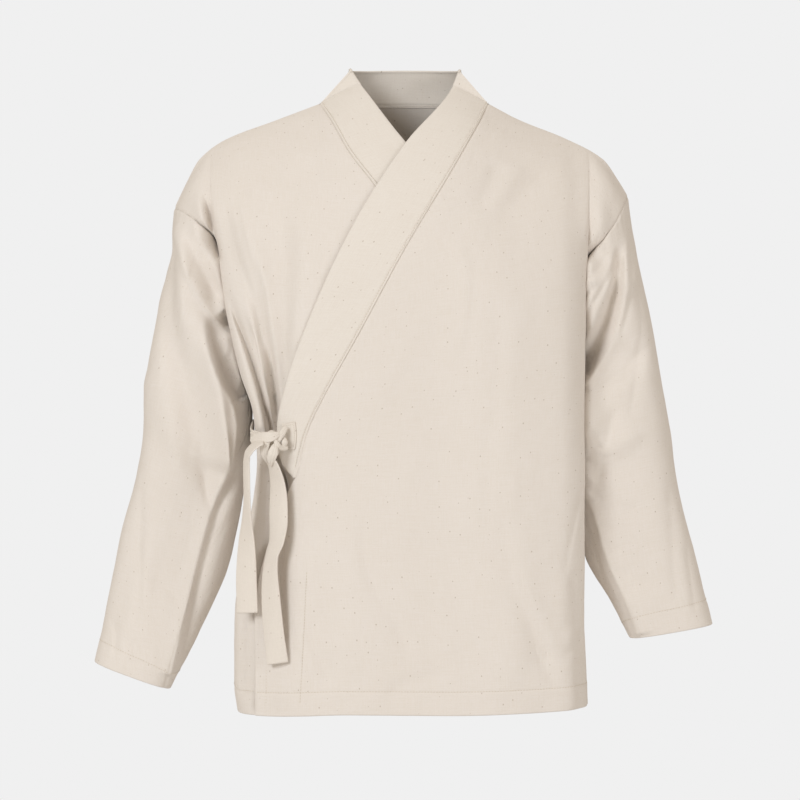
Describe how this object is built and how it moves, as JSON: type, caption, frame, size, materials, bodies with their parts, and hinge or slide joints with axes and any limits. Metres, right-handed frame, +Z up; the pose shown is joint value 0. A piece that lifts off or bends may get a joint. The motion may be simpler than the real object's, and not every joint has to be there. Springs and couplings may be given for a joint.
{
  "type": "juban",
  "caption": "Wrap-front juban jacket of undyed cotton calico, hollow as worn, with a straight collar band, drop shoulders, long tapered sleeves and side ties knotted at the waist.",
  "frame": {"origin": "midway between the two points where the collar seam crosses the shoulders, which is where the wearer's shoulders hold it up", "axes": "+Z up, +X to the wearer's left, the front faces -Y"},
  "size_m": [0.7389, 0.2528, 0.7696],
  "materials": {
    "calico": "matte, undyed plain weave with dark seed flecks",
    "collar_calico": "matte, the same cloth folded double",
    "tie_calico": "matte, the same cloth folded and stitched flat"
  },
  "bodies": {
    "root": {"front_over": "calico", "front_under": "calico", "back": "calico", "sleeve_left": "calico", "sleeve_right": "calico", "collar": "collar_calico", "tail_over": "tie_calico", "tail_side": "tie_calico", "tie_over": "tie_calico", "tie_side": "tie_calico", "knot": "tie_calico"}
  },
  "joints": []
}
